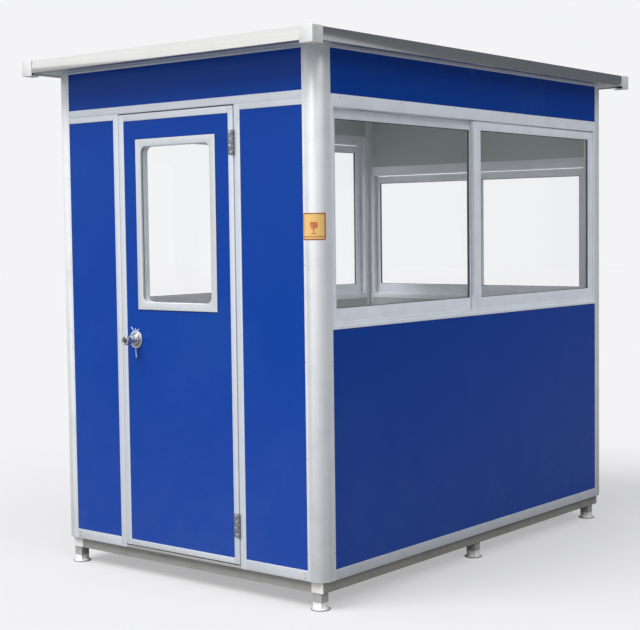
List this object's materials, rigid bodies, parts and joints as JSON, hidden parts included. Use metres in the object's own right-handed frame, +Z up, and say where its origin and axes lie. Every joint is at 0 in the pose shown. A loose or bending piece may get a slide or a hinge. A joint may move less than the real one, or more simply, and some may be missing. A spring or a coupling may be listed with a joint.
{
  "type": "security guard booth",
  "caption": "Free-standing guard booth of sandwich panels in aluminium profiles, with a hinged door, sliding windows, an overhanging flat roof and a steel base on short feet.",
  "frame": {"origin": "on the ground, under the middle of the booth", "axes": "+Z up; +Y along the length, from the door wall towards the rear wall; +X towards the right-hand window wall as seen facing the door"},
  "size_m": [1.684, 2.574, 2.278],
  "materials": {
    "base_steel": "galvanised grey, satin",
    "end_cap": "moulded, satin",
    "floor": "vinyl sheet on board, matt",
    "aluminium_profile": "anodised, satin",
    "blue_panel": "colour-coated steel sheet, gloss",
    "window_profile": "powder-coated, satin",
    "window_glass": "clear float glass",
    "roof_panel": "colour-coated steel sheet, satin",
    "fascia": "bright rolled stainless sheet",
    "corner_cap": "moulded, satin",
    "door_trim": "moulded, satin",
    "steel_fitting": "satin stainless",
    "lock_metal": "polished"
  },
  "bodies": {
    "cabin": {"base_side_beams": "base_steel", "base_end_beams": "base_steel", "base_cross_beams": "base_steel", "beam_end_caps": "end_cap", "feet": "base_steel", "floor_panel": "floor", "front_right_post": "aluminium_profile", "front_left_post": "aluminium_profile", "rear_right_post": "aluminium_profile", "rear_left_post": "aluminium_profile", "bottom_rails": "aluminium_profile", "door_threshold": "aluminium_profile", "door_jambs": "aluminium_profile", "door_head_rail": "aluminium_profile", "panel_top_trims": "aluminium_profile", "front_upper_panel": "blue_panel", "front_left_panel": "blue_panel", "front_right_panel": "blue_panel", "right_lower_panel": "blue_panel", "right_upper_panel": "blue_panel", "left_lower_panel": "blue_panel", "left_upper_panel": "blue_panel", "rear_lower_panel": "blue_panel", "rear_upper_panel": "blue_panel", "right_window_frame": "window_profile", "left_window_frame": "window_profile", "rear_window_frame": "window_profile", "right_window_sashes": "window_profile", "left_window_sashes": "window_profile", "rear_window_sashes": "window_profile", "right_window_glass": "window_glass", "left_window_glass": "window_glass", "rear_window_glass": "window_glass", "roof_panel": "roof_panel", "fascia_long_sides": "fascia", "fascia_short_sides": "fascia", "roof_corner_caps": "corner_cap", "frame_hinge_leaves": "steel_fitting"},
    "door": {"door_panel": "blue_panel", "door_stiles": "aluminium_profile", "door_rails": "aluminium_profile", "door_window_trim": "door_trim", "door_glass": "window_glass", "lock_roses": "lock_metal", "door_hinge_leaves": "steel_fitting"},
    "knobs": {"door_knobs": "lock_metal"}
  },
  "joints": [
    {"name": "door_swing", "type": "hinge", "parent": "cabin", "child": "door", "pos_m": [0.318, -1.166, 1.0745], "axis": [0, 0, 1], "range_deg": [0, 170]},
    {"name": "knob_turn", "type": "hinge", "parent": "door", "child": "knobs", "pos_m": [-0.2745, -1.158, 1.041], "axis": [0, 1, 0], "range_deg": [-45, 45], "stiffness_Nm_per_rad": 0.4}
  ]
}
